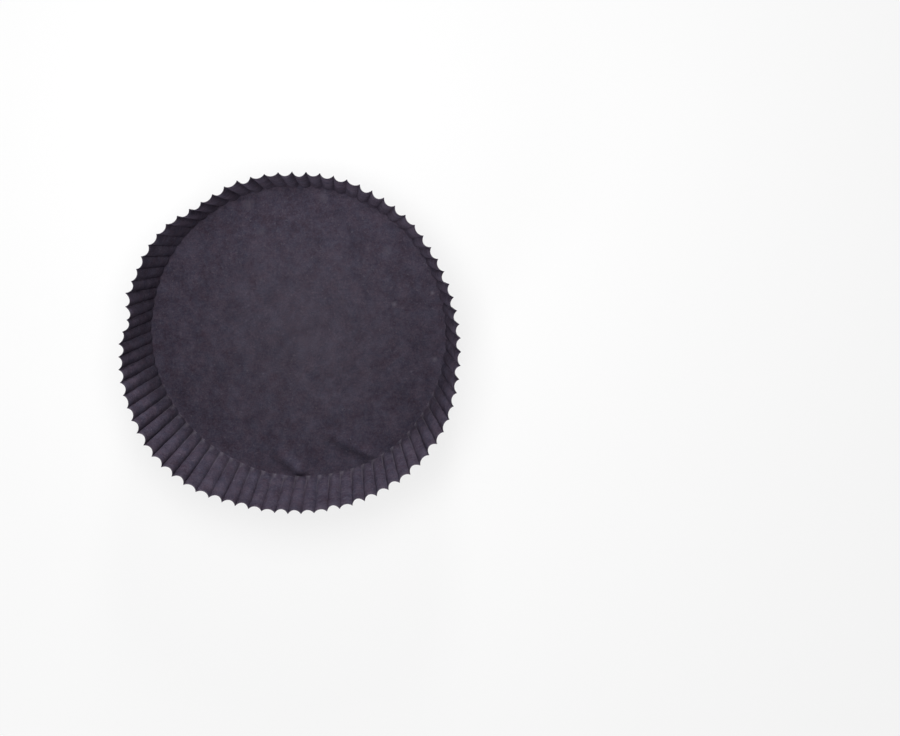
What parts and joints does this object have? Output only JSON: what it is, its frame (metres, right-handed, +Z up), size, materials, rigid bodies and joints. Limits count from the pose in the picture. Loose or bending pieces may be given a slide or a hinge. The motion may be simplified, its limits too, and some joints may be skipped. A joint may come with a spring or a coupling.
{
  "type": "paper baking cup",
  "caption": "Low round baking cup of dark paper with a flat base and a finely pleated, flaring wall with a scalloped rim.",
  "frame": {"origin": "middle of the base's underside, on the surface that the cup stands on", "axes": "+Z up out of the cup's opening; +X to the right and +Y up the picture, as the picture shows the cup from above"},
  "size_m": [0.0903, 0.0912, 0.0197],
  "materials": {
    "paper": "matt dark purple-grey baking paper, dyed through, with a cloudy grain and paler crease lines"
  },
  "bodies": {
    "root": {"baking_cup": "paper"}
  },
  "joints": []
}
